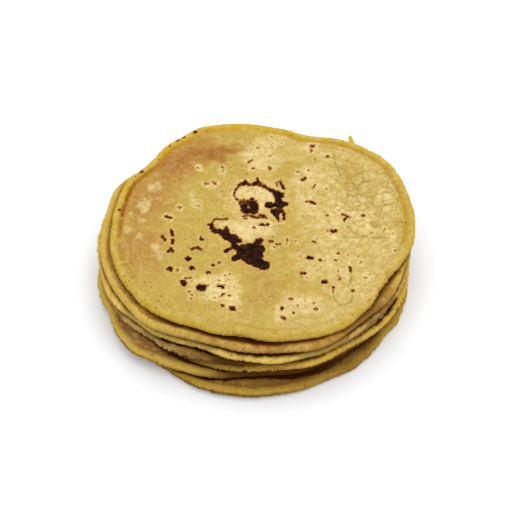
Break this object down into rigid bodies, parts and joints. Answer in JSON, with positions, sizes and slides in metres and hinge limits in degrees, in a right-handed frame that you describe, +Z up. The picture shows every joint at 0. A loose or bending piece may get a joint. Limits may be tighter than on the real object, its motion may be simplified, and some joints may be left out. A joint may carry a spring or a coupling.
{
  "type": "stack of corn tortillas",
  "caption": "Low stack of thick, uneven corn tortillas, lying as they were piled, the top one with scorched spots and a raised border.",
  "frame": {"origin": "under the middle of the stack's outline, on the surface that it lies on", "axes": "+Z up through the stack, -Y to the side that the picture shows in front, +X to that view's right"},
  "size_m": [0.1546, 0.1594, 0.0311],
  "materials": {
    "corn_dough": "matte",
    "toasted_corn_dough": "matte"
  },
  "bodies": {
    "root": {"tortilla_1": "corn_dough", "tortilla_2": "corn_dough", "tortilla_3": "corn_dough", "tortilla_4": "corn_dough", "tortilla_5": "corn_dough", "tortilla_6": "corn_dough", "tortilla_7": "toasted_corn_dough"}
  },
  "joints": []
}
